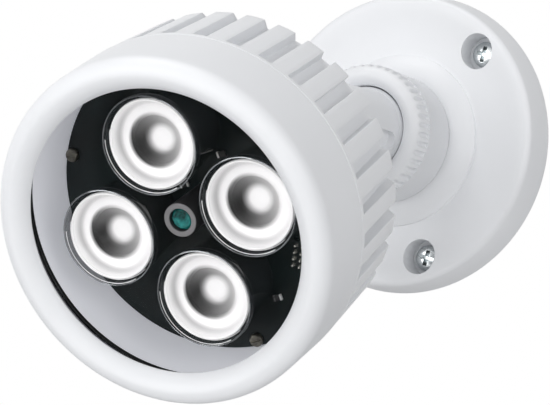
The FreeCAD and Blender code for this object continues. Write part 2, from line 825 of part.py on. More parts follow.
# Finned housing
housing = new_body("finned_housing")
turned(housing, [
    ("arm_stub + thread_clearance", "boss_rear"),
    ("boss_outside - boss_edge", "boss_rear"),
    ("boss_outside", "boss_rear + boss_edge"),
    ("boss_outside", "rear_face - boss_fillet", "boss_fillet", "in"),
    ("boss_outside + boss_fillet", "rear_face"),
    ("rear_face_radius", "rear_face"),
    ("rear_edge_radius", "rear_edge"),
    ("fin_rear_radius", "fin_rear"),
    ("fin_front_radius", "parting"),
    ("spigot_radius", "parting"),
    ("spigot_radius", "spigot_front - spigot_chamfer"),
    ("spigot_radius - spigot_chamfer", "spigot_front"),
    ("cavity_radius", "spigot_front"),
    ("cavity_radius", "board_seat"),
    ("rear_cavity_radius", "board_seat"),
    ("rear_cavity_radius", "rear_cavity_floor + rear_cavity_corner"),
    ("rear_cavity_radius - rear_cavity_corner", "rear_cavity_floor"),
    ("arm_stub + thread_clearance", "rear_cavity_floor"),
])
groove = pushed(
    housing, outline(housing, "YZ_Plane", [
        ("groove_rear_radius", "groove_rear"),
        ("groove_outside", "groove_rear"),
        ("groove_outside", "groove_front"),
        ("groove_front_radius", "groove_front"),
    ]), "Pocket", "groove_width", both=True)
around(housing, [groove], "fin_count")
pushed(
    housing, circle(housing, "XY_Plane", "0", "0 - grommet_offset", "grommet_radius"),
    "Pocket", "rear_cavity_floor + boss_edge", backwards=True)
pieces.append(housing)


def board_point(number):
    """Place of one board screw: below, upper right and upper left."""
    turn = math.radians(360 / 3 * number - 90)
    return "%.6f*board_screw_circle" % math.cos(turn), "%.6f*board_screw_circle" % math.sin(turn)


for number in range(3):
    x, y = board_point(number)
    pushed(
        housing, circle(housing, "XY_Plane", x, y, "board_screw_radius + thread_clearance", "board_seat"),
        "Pocket", "board_screw_depth")
on_head(housing)


# Rubber grommet for the lead, closed by its thin skin
grommet = new_body("lead_grommet")
turned(grommet, [
    ("grommet_dimple", "rear_face - grommet_rear"),
    ("grommet_flange - grommet_skin", "rear_face - grommet_rear"),
    ("grommet_flange", "rear_face"),
    ("grommet_radius", "rear_face"),
    ("grommet_radius", "rear_cavity_floor"),
    ("grommet_lip", "rear_cavity_floor"),
    ("grommet_radius", "rear_cavity_floor + grommet_lip_height"),
    ("0", "rear_cavity_floor + grommet_lip_height"),
    ("0", "rear_cavity_floor + grommet_lip_height - grommet_skin"),
    ("grommet_dimple", "rear_cavity_floor + grommet_lip_height - grommet_skin"),
])
pieces.append(on_head(grommet, "0", "0 - grommet_offset"))


# Front bezel
bezel = new_body("front_bezel")
turned(bezel, [
    ("bezel_bore", "parting + parting_gap"),
    ("fin_front_radius", "parting + parting_gap"),
    ("bezel_front_radius", "bezel_front", "bezel_outer_round", "out"),
    ("bezel_crest_radius", "bezel_crest", "bezel_inner_round", "out"),
    ("lip_radius", "lip_front"),
    ("lip_radius", "lip_rear"),
    ("bezel_bore", "lip_rear"),
])
pieces.append(on_head(bezel))


# Glass and its U-shaped gasket
gasket = new_body("glass_gasket")
turned(gasket, [
    ("cavity_radius", "spigot_front"),
    ("spigot_radius", "spigot_front"),
    ("spigot_radius", "lip_rear"),
    ("gasket_front_radius", "lip_rear"),
    ("gasket_front_radius", "lip_rear - gasket_lip"),
    ("gasket_bore", "lip_rear - gasket_lip"),
    ("gasket_bore", "spigot_front + gasket_flange"),
    ("cavity_radius", "spigot_front + gasket_flange"),
])
pieces.append(on_head(gasket))

pane = primitive(
    "Cylinder", "GlassPane", ("0", "0", "spigot_front + gasket_flange"),
    Radius="gasket_bore - glass_clearance", Height="lip_rear - spigot_front - gasket_flange - gasket_lip")
pieces.append(on_head(grouped("front_glass", [pane])))


# Lamp board
board = new_body("led_board")
turned(board, [
    ("0", "board_seat"),
    ("board_radius", "board_seat"),
    ("board_radius", "board_seat + board_thickness"),
    ("0", "board_seat + board_thickness"),
])
for number in range(3):
    x, y = board_point(number)
    pushed(
        board, circle(board, "XY_Plane", x, y, "board_screw_radius + thread_clearance", "board_seat"),
        "Pocket", backwards=True)
pieces.append(on_head(board))

board_front = "board_seat + board_thickness"


def board_screw(number):
    name = "board_screw_%d" % number
    x, y = board_point(number)
    shank = primitive("Cylinder", name + "Shank", (x, y, board_front + " - board_screw_depth"),
                      Radius="board_screw_radius", Height="board_screw_depth")
    head = primitive("Cylinder", name + "Head", (x, y, board_front),
                     Radius="board_screw_head", Height="board_screw_head_height")
    return boolean("Fuse", name, shank, head)


pieces.append(on_head(grouped("board_screws", [board_screw(i) for i in range(3)])))


# The four lamps: holder, lens and emitter, in a diamond
def holder(label):
    body = new_body(label)
    turned(body, [
        ("holder_foot - holder_wall", board_front),
        ("holder_foot", board_front),
        ("holder_neck", "holder_ledge - holder_ledge_height"),
        ("holder_radius", "holder_ledge"),
        ("holder_radius", "holder_front"),
        ("holder_radius - holder_wall", "holder_front"),
        ("holder_radius - holder_wall", "holder_ledge"),
        ("holder_ledge_bore", "holder_ledge"),
        ("holder_ledge_bore", "holder_ledge - holder_ledge_height"),
        ("holder_neck - holder_wall", "holder_ledge - holder_ledge_height"),
    ])
    return body


def lens(label):
    body = new_body(label)
    turned(body, [
        ("lens_well", "lens_rear"),
        ("lens_rear_radius", "lens_rear"),
        ("lens_disc", "holder_ledge"),
        ("holder_radius - holder_wall - lens_clearance", "holder_ledge"),
        ("holder_radius - holder_wall - lens_clearance", "lens_rim"),
        ("lens_disc", "lens_rim"),
        ("lens_bowl_radius", "lens_rim - lens_bowl_depth"),
        ("lens_pit_radius", "lens_rim - lens_bowl_depth - lens_pit_depth"),
        ("0", "lens_rim - lens_bowl_depth - lens_pit_depth"),
        ("0", "lens_well_top"),
        ("lens_well", "lens_well_top - lens_clearance"),
    ])
    return body


def emitter(label):
    body = new_body(label)
    half = "0.5*emitter_side"
    square = rectangle("0 - " + half, "0 - " + half, half, half)
    pushed(body, outline(body, "XY_Plane", square, board_front), "Pad", "emitter_height")
    top = board_front + " + emitter_height"
    turned(body, [
        ("0", board_front),
        ("emitter_dome", board_front),
        ("emitter_dome", top, "dome", "out"),
        ("0", top + " + emitter_dome"),
    ])
    return body


LAMPS = (("top", "0", "lens_circle"), ("right", "lens_circle", "0"),
         ("bottom", "0", "0 - lens_circle"), ("left", "0 - lens_circle", "0"))
for side, x, y in LAMPS:
    for make, name in ((holder, "lens_holder"), (lens, "lens"), (emitter, "led_emitter")):
        pieces.append(on_head(make("%s_%s" % (name, side)), x, y))


# Light sensor at the middle of the board
sensor = new_body("photocell")
turned(sensor, [
    ("0", board_front),
    ("photocell_radius", board_front),
    ("photocell_radius", "photocell_front - photocell_edge"),
    ("photocell_radius - photocell_edge", "photocell_front"),
    ("0", "photocell_front"),
])
pieces.append(on_head(sensor))

sleeve = new_body("photocell_sleeve")
turned(sleeve, [
    ("sleeve_bore", board_front),
    ("sleeve_radius", board_front),
    ("sleeve_radius", "sleeve_front"),
    ("sleeve_bore", "sleeve_front"),
])
pieces.append(on_head(sleeve))


# Small parts on the lamp board
def block(name, x, y, z, width, length, height):
    corner = (x + " - 0.5*" + width, y + " - 0.5*" + length, z)
    return primitive("Box", name, corner, Length=width, Width=length, Height=height)


def terminal_point(across, along):
    """Place on the terminal, in pitches from its middle."""
    turn = math.radians(sizes["terminal_turn"])
    x = across * math.cos(turn) - along * math.sin(turn)
    y = across * math.sin(turn) + along * math.cos(turn)
    return "terminal_x + %.4f*terminal_pitch" % x, "terminal_y + %.4f*terminal_pitch" % y


terminal = new_body("board_terminal")
strip = [terminal_point(*corner) for corner in ((-1.1, -2.1), (1.1, -2.1), (1.1, 2.1), (-1.1, 2.1))]
pushed(terminal, outline(terminal, "XY_Plane", strip, board_front), "Pad", "terminal_height")
for number in range(8):
    x, y = terminal_point(number % 2 - 0.5, number // 2 - 1.5)
    pushed(terminal, circle(terminal, "XY_Plane", x, y, "terminal_pin", board_front), "Pad", "terminal_pin_height")
pieces.append(on_head(terminal))

CHIPS = (("-3.9", "4.3"), ("6.9", "8.7"), ("8.2", "-23.7"))
chips = [block("Chip%d" % i, x, y, board_front, "chip_length", "chip_width", "chip_height")
         for i, (x, y) in enumerate(CHIPS)]
pieces.append(on_head(grouped("board_chips", chips)))


# Driver board behind the lamp board
driver_front = "board_seat - driver_gap"
driver_rear = driver_front + " - driver_thickness"
driver = primitive("Cylinder", "DriverDisc", ("0", "0", driver_rear), Radius="driver_radius",
                   Height="driver_thickness")
pieces.append(on_head(grouped("driver_board", [driver])))

spacers = []
for number in range(3):
    turn = math.radians(360 / 3 * number + 90)
    x, y = ("%.6f*spacer_circle" % part for part in (math.cos(turn), math.sin(turn)))
    spacers.append(primitive("Cylinder", "Spacer%d" % number, (x, y, driver_front),
                             Radius="spacer_radius", Height="driver_gap"))
pieces.append(on_head(grouped("board_spacers", spacers)))

link = block("BoardLink", "link_x", "0", driver_front, "link_width", "link_length", "driver_gap")
pieces.append(on_head(grouped("board_link", [link])))

inductor = new_body("inductor")
turned(inductor, [
    ("0", driver_rear + " - inductor_height"),
    ("inductor_radius", driver_rear + " - inductor_height"),
    ("inductor_radius", driver_rear + " - inductor_height + inductor_flange"),
    ("inductor_waist", driver_rear + " - inductor_height + inductor_flange"),
    ("inductor_waist", driver_rear + " - inductor_flange"),
    ("inductor_radius", driver_rear + " - inductor_flange"),
    ("inductor_radius", driver_rear),
    ("0", driver_rear),
])
pieces.append(on_head(inductor, "0", "inductor_y"))

cans = [primitive("Cylinder", "Can" + name, (x, "capacitor_y", driver_rear + " - capacitor_height"),
                  Radius="capacitor_radius", Height="capacitor_height")
        for name, x in (("Right", "capacitor_x"), ("Left", "0 - capacitor_x"))]
pieces.append(on_head(grouped("capacitors", cans)))

transistor = block("TransistorBlock", "0", "transistor_y", driver_rear + " - transistor_height",
                   "transistor_width", "transistor_length", "transistor_height")
pieces.append(on_head(grouped("power_transistor", [transistor])))


# Check and write
doc.recompute()
for thing in doc.Objects:
    if "Invalid" in thing.State or "Error" in thing.State:
        raise RuntimeError("%s failed: %s" % (thing.Name, thing.State))
os.makedirs("parts", exist_ok=True)
for piece in pieces:
    if piece.Shape.isNull() or not piece.Shape.isValid():
        raise RuntimeError("%s is not a valid solid" % piece.Label)
    piece.Shape.exportStep("parts/%s.step" % piece.Label)
    print("%-20s %d %9.1f" % (piece.Label, len(piece.Shape.Solids), piece.Shape.Volume))
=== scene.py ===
import bpy
import bmesh
import math
from mathutils import Matrix, Vector


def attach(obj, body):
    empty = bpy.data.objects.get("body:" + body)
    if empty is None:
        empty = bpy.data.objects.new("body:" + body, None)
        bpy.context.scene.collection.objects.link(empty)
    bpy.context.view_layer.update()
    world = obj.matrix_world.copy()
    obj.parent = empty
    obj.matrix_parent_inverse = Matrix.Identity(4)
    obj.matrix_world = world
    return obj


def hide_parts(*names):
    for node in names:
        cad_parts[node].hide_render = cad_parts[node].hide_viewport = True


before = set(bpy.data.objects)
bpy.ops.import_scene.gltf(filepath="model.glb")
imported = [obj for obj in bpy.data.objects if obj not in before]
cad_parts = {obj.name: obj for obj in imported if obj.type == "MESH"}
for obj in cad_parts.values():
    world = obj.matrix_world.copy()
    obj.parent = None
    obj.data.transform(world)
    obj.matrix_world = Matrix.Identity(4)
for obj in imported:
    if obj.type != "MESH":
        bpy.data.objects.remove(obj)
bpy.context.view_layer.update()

# Sizes in millimetres and angles in degrees, shared by several pieces
MM = 0.001
PIVOT = 49.0
TILT = math.radians(25.8)
SCREW_TURN = 34.5
SCREW_CIRCLE = 30.3
LENS_CIRCLE = 16.68
BOARD_FRONT = 59.0
BOARD_SCREW_CIRCLE = 31.9
CHIP_SPOTS = ((-3.9, 4.3), (6.9, 8.7), (8.2, -23.7))
CHIP_ENDS = 0.62
STRAIGHT = math.radians(88)
MIX_A, MIX_B, MIX_RESULT = 6, 7, 2

# Local frames: local Z leaves the wall (BASE) or the front of the lamp (HEAD)
BASE = Matrix(((1, 0, 0, 0), (0, 0, -1, 0), (0, 1, 0, 0), (0, 0, 0, 1)))
HEAD = Matrix((
    (1, 0, 0, 0),
    (0, -math.sin(TILT), -math.cos(TILT), -PIVOT),
    (0, math.cos(TILT), -math.sin(TILT), 0),
    (0, 0, 0, 1)))
TO_HEAD = HEAD.inverted()


# Mesh tools, in millimetres until piece() places the mesh
def linked(name, data):
    obj = bpy.data.objects.new(name, data)
    bpy.context.collection.objects.link(obj)
    return obj


def piece(name, mesh, body, local, slot, *nodes, material, sharp=30):
    """One piece on its body, in place of the solids that it dresses."""
    mesh.transform(Matrix.Scale(MM, 4) @ local)
    mesh.polygons.foreach_set("use_smooth", [True] * len(mesh.polygons))
    mesh.set_sharp_from_angle(angle=math.radians(sharp))
    obj = linked(name, mesh)
    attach(obj, body)
    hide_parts(*nodes)
    mesh.materials.clear()
    mesh.materials.append(material)
    return obj


def paint(obj, inverse, looks, choose):
    """More looks for a piece: choose() takes a face's middle, in local millimetres,
    and gives the look's number, where 0 is the piece's own material."""
    for look in looks:
        obj.data.materials.append(look)
    for face in obj.data.polygons:
        face.material_index = choose(inverse @ (face.center / MM))


def dress(node, look):
    """New material for a solid that stays as it is."""
    for holder in bpy.data.objects[node].material_slots:
        holder.material = look


def moved(mesh, x, y):
    mesh.transform(Matrix.Translation((x, y, 0)))
    return mesh


def round_spots(radius, first):
    """Three places on a circle, the first at an angle in degrees."""
    turns = [math.radians(first + 120 * k) for k in range(3)]
    return [(radius * math.cos(a), radius * math.sin(a)) for a in turns]


def rounded(corners):
    """Corner points (r, z, radius) of a closed profile, with each corner rounded."""
    points = []
    count, steps = len(corners), 5
    for i, corner in enumerate(corners):
        here = Vector(corner[:2])
        radius = corner[2] if len(corner) > 2 else 0.0
        if radius <= 0:
            points.append((here.x, here.y))
            continue
        back = Vector(corners[i - 1][:2]) - here
        on = Vector(corners[(i + 1) % count][:2]) - here
        half = back.angle(on) / 2
        if half > STRAIGHT:
            points.append((here.x, here.y))
            continue
        reach = min(radius / math.tan(half), 0.49 * back.length, 0.49 * on.length)
        radius = reach * math.tan(half)
        middle = here + (back.normalized() + on.normalized()).normalized() * (radius / math.sin(half))
        first = here + back.normalized() * reach - middle
        last = here + on.normalized() * reach - middle
        sweep = first.angle_signed(last)
        for k in range(steps + 1):
            turn = -sweep * k / steps
            turned = Matrix.Rotation(turn, 2) @ first
            points.append((middle.x + turned.x, middle.y + turned.y))
    return points


def arc(cx, cz, radius, start, end, steps):
    """Points of an arc, angles in degrees from +r towards +z."""
    turns = [math.radians(start + (end - start) * k / steps) for k in range(steps + 1)]
    return [(cx + radius * math.cos(a), cz + radius * math.sin(a)) for a in turns]


def lathe(name, points, segments=160, closed=True):
    """Turn a profile round the local Z axis. Points on the axis become one vertex."""
    mesh = bpy.data.meshes.new(name)
    verts, rings = [], []
    for r, z in points:
        if r < 1e-6:
            rings.append([len(verts)] * segments)
            verts.append((0, 0, z))
            continue
        start = len(verts)
        for k in range(segments):
            a = 2 * math.pi * k / segments
            verts.append((r * math.cos(a), r * math.sin(a), z))
        rings.append(list(range(start, start + segments)))
    faces = []
    pairs = list(zip(rings, rings[1:])) + ([(rings[-1], rings[0])] if closed else [])
    for low, high in pairs:
        for k in range(segments):
            n = (k + 1) % segments
            loop = [low[k], low[n], high[n], high[k]]
            loop = [v for i, v in enumerate(loop) if v != loop[i - 1]]
            if len(loop) > 2:
                faces.append(loop)
    mesh.from_pydata(verts, [], faces)
    mesh.validate()
    tidy(mesh)
    return mesh


def tidy(mesh):
    """Merge doubled points and turn the faces outwards."""
    bm = bmesh.new()
    bm.from_mesh(mesh)
    bmesh.ops.remove_doubles(bm, verts=bm.verts, dist=1e-5)
    bmesh.ops.recalc_face_normals(bm, faces=bm.faces)
    bm.to_mesh(mesh)
    bm.free()


def loft(name, rings):
    """Closed skin over rings of points, the last joined to the first."""
    mesh = bpy.data.meshes.new(name)
    size = len(rings[0])
    verts = [p for ring in rings for p in ring]
    faces = []
    for s in range(len(rings)):
        low, high = s * size, ((s + 1) % len(rings)) * size
        for k in range(size):
            n = (k + 1) % size
            faces.append((low + k, low + n, high + n, high + k))
    mesh.from_pydata(verts, [], faces)
    mesh.validate()
    tidy(mesh)
    return mesh


def boolean(operation, mesh, others):
    """Exact boolean of one mesh with the others."""
    work = linked("work", mesh)
    objects = [work]
    for other in others:
        objects.append(linked("tool", other))
        change = work.modifiers.new("boolean", "BOOLEAN")
        change.operation = operation
        change.solver = "EXACT"
        change.object = objects[-1]
    graph = bpy.context.evaluated_depsgraph_get()
    result = bpy.data.meshes.new_from_object(work.evaluated_get(graph))
    result.name = mesh.name
    for obj in objects:
        bpy.data.objects.remove(obj)
    return result


def cut(mesh, *cutters):
    """Mesh less its cutters, without slivers."""
    result = boolean("DIFFERENCE", mesh, cutters)
    bm = bmesh.new()
    bm.from_mesh(result)
    bmesh.ops.remove_doubles(bm, verts=bm.verts, dist=1e-4)
    bmesh.ops.dissolve_degenerate(bm, edges=bm.edges, dist=1e-4)
    bm.to_mesh(result)
    bm.free()
    return result


def joined(name, meshes):
    bm = bmesh.new()
    for mesh in meshes:
        bm.from_mesh(mesh)
    mesh = bpy.data.meshes.new(name)
    bm.to_mesh(mesh)
    bm.free()
    return mesh


def rod(name, radius, low, high, segments):
    """Plain round bar on the local Z axis."""
    return lathe(name, [(0, low), (radius, low), (radius, high), (0, high)], segments, closed=False)


def prism(name, outline, low, high):
    """Straight prism of a flat outline in local X and Y."""
    mesh = bpy.data.meshes.new(name)
    count = len(outline)
    verts = [(x, y, low) for x, y in outline] + [(x, y, high) for x, y in outline]
    faces = [tuple(reversed(range(count))), tuple(range(count, 2 * count))]
    faces += [(k, (k + 1) % count, count + (k + 1) % count, count + k) for k in range(count)]
    mesh.from_pydata(verts, [], faces)
    tidy(mesh)
    return mesh


def rectangle(half_x, half_y, x=0.0, y=0.0):
    """Outline for a prism, about a middle point."""
    return [(x - half_x, y - half_y), (x + half_x, y - half_y),
            (x + half_x, y + half_y), (x - half_x, y + half_y)]


# Materials
def material(name, colour, roughness=0.5, metallic=0.0, vary=0.02, scale=60.0, bump=0.0,
             bump_scale=900.0, rough_vary=0.05, tone=None, **more):
    """Painted or moulded finish: slight colour and gloss variation and a fine bump.
    A tone is the name of a colour attribute of the mesh that paints light and shade on the finish and sets
    the colour of any glow."""
    mat = bpy.data.materials.new(name)
    mat.use_nodes = True
    nodes, links = mat.node_tree.nodes, mat.node_tree.links
    shader = nodes["Principled BSDF"]
    shader.inputs["Metallic"].default_value = metallic
    for key, value in more.items():
        shader.inputs[key.replace("_", " ")].default_value = value
    coords = nodes.new("ShaderNodeTexCoord")
    noise = nodes.new("ShaderNodeTexNoise")
    noise.inputs["Scale"].default_value = scale
    noise.inputs["Detail"].default_value = 4.0
    links.new(coords.outputs["Object"], noise.inputs["Vector"])
    ramp = nodes.new("ShaderNodeValToRGB")
    ramp.color_ramp.elements[0].position = 0.3
    ramp.color_ramp.elements[1].position = 0.7
    dark = [max(c * (1 - vary), 0) for c in colour]
    light = [min(c * (1 + vary), 1) for c in colour]
    ramp.color_ramp.elements[0].color = (*dark, 1)
    ramp.color_ramp.elements[1].color = (*light, 1)
    links.new(noise.outputs["Fac"], ramp.inputs["Fac"])
    if tone:
        shade = nodes.new("ShaderNodeAttribute")
        shade.attribute_name = tone
        both = nodes.new("ShaderNodeMix")
        both.data_type = "RGBA"
        both.blend_type = "MULTIPLY"
        both.inputs["Factor"].default_value = 1.0
        links.new(ramp.outputs["Color"], both.inputs[MIX_A])
        links.new(shade.outputs["Color"], both.inputs[MIX_B])
        links.new(both.outputs[MIX_RESULT], shader.inputs["Base Color"])
        links.new(both.outputs[MIX_RESULT], shader.inputs["Emission Color"])
    else:
        links.new(ramp.outputs["Color"], shader.inputs["Base Color"])
    gloss = nodes.new("ShaderNodeMapRange")
    gloss.inputs["To Min"].default_value = max(roughness - rough_vary, 0.02)
    gloss.inputs["To Max"].default_value = min(roughness + rough_vary, 1.0)
    links.new(noise.outputs["Fac"], gloss.inputs["Value"])
    links.new(gloss.outputs["Result"], shader.inputs["Roughness"])
    if bump:
        grain = nodes.new("ShaderNodeTexNoise")
        grain.inputs["Scale"].default_value = bump_scale
        grain.inputs["Detail"].default_value = 3.0
        links.new(coords.outputs["Object"], grain.inputs["Vector"])
        relief = nodes.new("ShaderNodeBump")
        relief.inputs["Strength"].default_value = bump
        relief.inputs["Distance"].default_value = 0.0001
        links.new(grain.outputs["Fac"], relief.inputs["Height"])
        links.new(relief.outputs["Normal"], shader.inputs["Normal"])
    return mat


white = material("white_coat", (0.83, 0.84, 0.86), 0.42, vary=0.012, bump=0.06, bump_scale=1400.0)
zinc = material("zinc_plate", (0.66, 0.69, 0.70), 0.24, metallic=0.95, vary=0.12, scale=400.0, bump=0.1)
steel = material("bright_steel", (0.62, 0.62, 0.62), 0.28, metallic=1.0, vary=0.06, scale=300.0)
nylon = material("black_nylon", (0.03, 0.03, 0.032), 0.5, vary=0.1)
# Painted light: the cavity wall inside the front is paler and bluer than the outside white and glows,
# standing in for light the lamps do not bring in
inside_painted_light = material("inside_painted_glow", (0.93, 0.935, 0.97), 0.5, vary=0.012, Emission_Strength=0.26,
                        Emission_Color=(0.9, 0.92, 1.0, 1))
rubber = material("seal_rubber", (0.012, 0.012, 0.013), 0.45, vary=0.15, bump=0.08)
mask = material("board_mask", (0.004, 0.009, 0.009), 0.3, vary=0.6, scale=90.0, bump=0.03,
                Specular_IOR_Level=0.3)
chip_body = material("chip_body", (0.035, 0.035, 0.036), 0.5, vary=0.1)
# Near-white chip ends: partly the tin of the solder, partly painted glints
solder_and_glint = material("solder_and_glint", (0.95, 0.94, 0.9), 0.3, metallic=0.2, vary=0.1, scale=900.0)
tin = material("tin", (0.75, 0.74, 0.68), 0.25, metallic=0.9, vary=0.1, scale=500.0)
dull = material("dull_steel", (0.16, 0.15, 0.125), 0.35, metallic=0.8, vary=0.4, scale=900.0)
brass = material("brass", (0.62, 0.47, 0.2), 0.3, metallic=1.0)
ferrite = material("ferrite", (0.03, 0.03, 0.032), 0.6, vary=0.1)
can = material("can_aluminium", (0.7, 0.7, 0.71), 0.35, metallic=1.0)
sleeve_grey = material("sleeve_grey", (0.21, 0.205, 0.21), 0.5, vary=0.06)
# Mottled teal: the dark teal is the cell's own colour, its light speckles are painted glints
teal = material("sensor_teal", (0.012, 0.15, 0.14), 0.15, vary=0.9, scale=700.0, bump=0.6, bump_scale=700.0,
                Specular_IOR_Level=0.3)
acrylic = material("clear_acrylic", (0.035, 0.042, 0.045), 0.06, Alpha=0.42, Specular_IOR_Level=0.3)
# Painted highlights on the clear holders: a lighter, more solid crest and glowing streaks on one side
rim_highlight = material("acrylic_rim_highlight", (0.5, 0.52, 0.54), 0.08, metallic=0.6, vary=0.15, scale=200.0, Alpha=0.55)
painted_streak = material("acrylic_painted_highlight", (0.95, 0.95, 0.97), 0.15, metallic=0.1, vary=0.5, scale=500.0, Alpha=0.9,
                  Emission_Strength=0.3, Emission_Color=(0.95, 0.95, 0.97, 1))
# Painted light: the lens is an opaque white that glows, with its light, shade and highlights painted through
# the tone attribute
painted_lens = material("lens_silver", (0.98, 0.98, 0.975), 0.3, metallic=0.08, vary=0.012, tone="tone",
                  Emission_Strength=0.2, Specular_IOR_Level=0.25)
lit = material("emitter_lens", (0.72, 0.71, 0.66), 0.15, vary=0.05)
pane = material("pane", (0.02, 0.025, 0.025), 0.05, vary=0.01, Alpha=0.02, Specular_IOR_Level=0.15)

NODE_LOOKS = {
    "swivel_washer": nylon, "tilt_screw": steel, "tilt_nut": steel, "tilt_washers": steel, "arm": white,
    "arm_lock_nut": steel, "arm_seal": rubber, "lead_grommet": rubber, "front_glass": pane,
    "led_board": mask, "driver_board": mask, "board_spacers": brass, "board_link": chip_body,
    "inductor": ferrite, "capacitors": can, "power_transistor": chip_body, "photocell": teal,
}


# Wall base: dished face, stepped hub, three counterbored screw holes
def base_mesh():
    face_edge, hub_edge, steps = 35.1, 21.6, 8
    corners = [(35.0, 0.0, 0.2), (38.0, 0.0, 0.3), (36.62, 9.0, 1.5)]
    for k in range(1, steps):
        sag = 0.38 * (1 - (2 * k / steps - 1) ** 2)
        r = face_edge + (hub_edge - face_edge) * k / steps
        corners.append((r, 9.0 - 2.2 * k / steps - sag, 0.0))
    corners += [(hub_edge, 6.8, 0.15), (hub_edge, 7.6, 0.25)]
    corners += [(hub_edge - 5.3 * t, 7.6 + 2.3 * math.sin(t * math.pi / 2) ** 0.85, 0.0) for t in
                (0.12, 0.25, 0.4, 0.55, 0.7, 0.85, 1.0)]
    corners += [(13.2, 9.9, 0.1), (13.2, 17.0, 0.4), (5.0, 17.0, 0.2), (5.0, 14.0, 0.0), (10.0, 14.0, 0.0),
                (10.0, 6.9, 0.3), (15.5, 6.9, 0.3), (19.5, 4.2, 0.5), (33.4, 5.6, 0.8), (35.0, 4.0, 0.3)]
    body = lathe("wall_base", rounded(corners), 192)
    cutters, posts = [], []
    for x, y in round_spots(SCREW_CIRCLE, SCREW_TURN):
        cutters.append(moved(rod("sink", 4.4, 1.6, 12.0, 64), x, y))
        cutters.append(moved(rod("hole", 2.2, -1.0, 3.0, 48), x, y))
        posts.append(moved(rod("post", 6.0, 0.3, 6.0, 64), x, y))
    return cut(boolean("UNION", body, posts), *cutters)


piece("base_cover", base_mesh(), "base", BASE, "white_coat", "wall_base", material=white)


# Cross-recess screws
def screw_mesh():
    profile = [(0, 3.8), (1.2, 3.77), (2.2, 3.62), (2.75, 3.42), (3.08, 3.12), (3.25, 2.7), (3.3, 2.3),
               (3.3, 1.6), (1.6, 1.6), (1.6, 0.0), (1.9, 0.0), (1.9, -19.0), (0, -22.0)]
    foot, mouth = (0.5, 0.6), (1.25, 1.2)
    cutters = []
    for turned in (0, 1):
        bar = prism("bar", rectangle(2.3, 0.6), 1.9, 5.4)
        for vertex in bar.vertices:
            grow = foot if vertex.co.z < 4 else mouth
            vertex.co.x *= grow[0]
            vertex.co.y *= grow[1]
        if turned:
            bar.transform(Matrix.Rotation(math.pi / 2, 4, "Z"))
        cutters.append(bar)
    return cut(lathe("screw", profile, 64, closed=False), *cutters)


screws = []
for (x, y), spin in zip(round_spots(SCREW_CIRCLE, SCREW_TURN), (64, 20, 64)):
    mesh = screw_mesh()
    mesh.transform(Matrix.Rotation(math.radians(spin), 4, "Z"))
    screws.append(moved(mesh, x, y))
piece("pan_head_screws", joined("pan_head_screws", screws), "base", BASE, "zinc", "base_screws",
      material=zinc)


# Locking ring with its serrated band and rounded lip
def ring_mesh():
    count, notch, centre = 45, 0.62, 16.1
    period = 2 * math.pi / count

    def station(r, z, depth):
        """One ring of points; depth 0 is round, 1 is the full notch."""
        ring = []
        for k in range(count):
            middle = k * period
            for part in (-1.0, -0.8, -0.6, -0.4, -0.2, 0.0, 0.2, 0.4, 0.6, 0.8):
                a = middle + part * period / 2
                offset = abs(part) * period / 2 * r
                sink = max(r - (centre - math.sqrt(max(notch ** 2 - offset ** 2, 0.0))), 0.0)
                if offset > notch:
                    sink = 0.0
                here = r - sink * depth
                ring.append((here * math.cos(a), here * math.sin(a), z))
        return ring

    outer = [(15.5, 10.2, 0), (15.85, 10.25, 0), (16.0, 10.5, 0), (16.0, 21.4, 0), (16.06, 21.5, 0),
             (16.2, 21.62, 0), (16.2, 21.66, 0.6), (16.2, 21.75, 1), (16.2, 24.9, 1)]
    outer += [(r, z, max(0.0, 1 - t * 2.5)) for (r, z), t in
              zip(arc(13.6, 24.9, 2.6, 8, 172, 18), [k / 18 for k in range(19)])]
    outer += [(11.0, 24.9, 0), (11.0, 21.2, 0), (11.1, 21.05, 0), (13.9, 21.05, 0), (13.9, 17.3, 0),
              (13.3, 17.3, 0), (13.3, 10.4, 0), (13.5, 10.2, 0)]
    return loft("locking_ring", [station(*s) for s in outer])


piece("ring_nut", ring_mesh(), "ring", BASE, "white_coat", "locking_ring", material=white, sharp=38)


# Swivel neck: foot flange, tapered neck, fork and side relief
def neck_mesh():
    fork = 9.3
    points = rounded([(4.0, 18.0, 0.0), (13.5, 18.0, 0.2), (13.5, 21.0, 0.2), (10.7, 21.0, 0.1),
                      (10.7, 25.3, 0.12), (10.05, 26.0, 0.2), (fork, 41.0, 3.0), (fork, PIVOT, 0.0)])
    points += arc(0, PIVOT, fork, 5, 85, 16)
    points += [(0, PIVOT + fork), (0, 34.0), (4.0, 32.0)]
    body = lathe("swivel_neck", points, 160)
    cutters = [prism("slot", rectangle(3.45, 15), 39.8, 62.0)]
    for side, radius, low, high, segments in ((1, 4.9, 7.2, 14.0, 64), (-1, 4.9, 7.2, 14.0, 64),
                                              (1, 2.6, -20, 20, 48)):
        hole = rod("hole", radius, low, high, segments)
        hole.transform(Matrix.Translation((0, 0, PIVOT)) @ Matrix.Rotation(side * math.pi / 2, 4, "Y"))
        cutters.append(hole)
    # Relief: its outline's X runs along the neck, and its Z points outwards at its own angle
    half, foot = 2.5, 29.5
    outline = [(43.0, -half), (43.0, half), (foot, half)]
    outline += [(foot - half * math.sin(a), half * math.cos(a)) for a in
                [math.pi * k / 16 for k in range(1, 16)]]
    outline += [(foot, -half)]
    relief = prism("relief", outline, 8.1, 16.0)
    a = math.radians(-32)
    out, along = Vector((math.cos(a), math.sin(a), 0)), Vector((0, 0, 1))
    side = out.cross(along)
    spin = Matrix((
        (along.x, side.x, out.x, 0), (along.y, side.y, out.y, 0), (along.z, side.z, out.z, 0), (0, 0, 0, 1)))
    relief.transform(spin)
    tidy(relief)
    cutters.append(relief)
    return cut(body, *cutters)


piece("neck", neck_mesh(), "neck", BASE, "white_coat", "swivel_neck", material=white)


